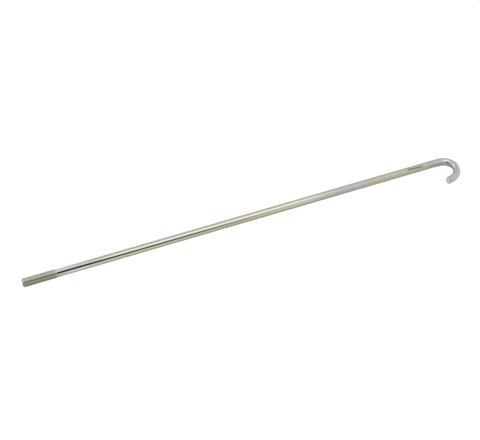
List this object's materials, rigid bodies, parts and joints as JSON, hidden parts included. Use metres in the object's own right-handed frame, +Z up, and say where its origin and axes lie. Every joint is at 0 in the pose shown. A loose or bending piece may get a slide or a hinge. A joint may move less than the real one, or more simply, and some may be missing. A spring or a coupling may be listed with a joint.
{
  "type": "j bolt",
  "caption": "Long plated steel rod with a rolled screw thread at one end and an open hook bent at the other, for clamping something down to a bracket.",
  "frame": {"origin": "on the rod's axis, at the end face of the threaded end", "axes": "+X along the shank from the thread towards the hook; +Z up, square to the flat plane the shank and hook lie in; the hook turns towards -Y"},
  "size_m": [0.3137, 0.026, 0.006],
  "materials": {
    "plated_steel": "smooth cold-drawn steel with a bright chromate-passivated zinc plating: silvery with soft patches of pale yellow-green, straw, olive and mauve along and around the rod, duller and greyer on the rolled thread"
  },
  "bodies": {
    "root": {"j_bolt": "plated_steel"}
  },
  "joints": []
}
